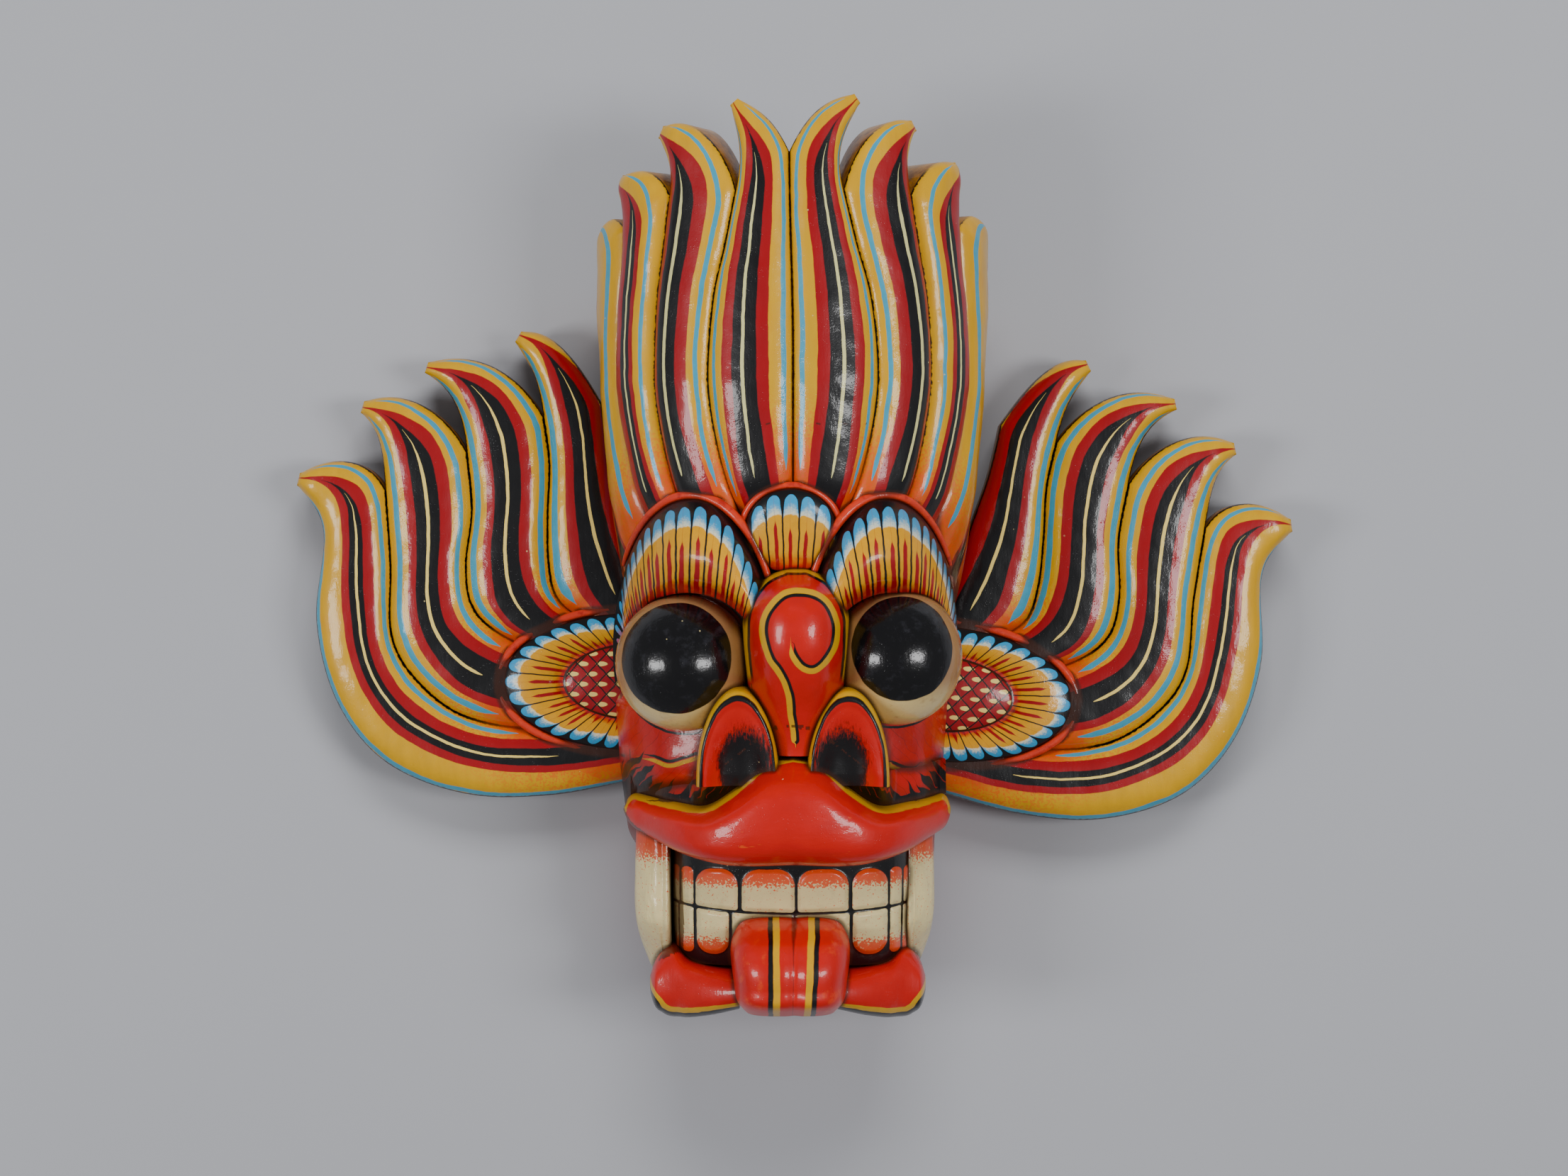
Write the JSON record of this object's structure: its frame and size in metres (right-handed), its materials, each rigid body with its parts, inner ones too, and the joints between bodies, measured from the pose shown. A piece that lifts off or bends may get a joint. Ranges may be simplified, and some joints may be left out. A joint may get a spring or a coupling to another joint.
{
  "type": "wooden mask",
  "caption": "Carved and painted fire-demon mask: a hollow head with bulging eyes, bared teeth, tongue out and a crown of flames, and a flame-shaped wing at each ear.",
  "frame": {"origin": "on the flat back plane, in the middle of the mask's width and height", "axes": "the mask lies on its back: +X towards the wing on the right when looking at the face, +Y from chin to crown, +Z out of the face"},
  "size_m": [0.3732, 0.324, 0.1185],
  "materials": {
    "head_wood": "glossy hand-painted enamel, mostly red, yellow and black",
    "wing_wood": "glossy hand-painted enamel, yellow, red and black stripes"
  },
  "bodies": {
    "root": {"head": "head_wood", "left_wing": "wing_wood", "right_wing": "wing_wood"}
  },
  "joints": []
}
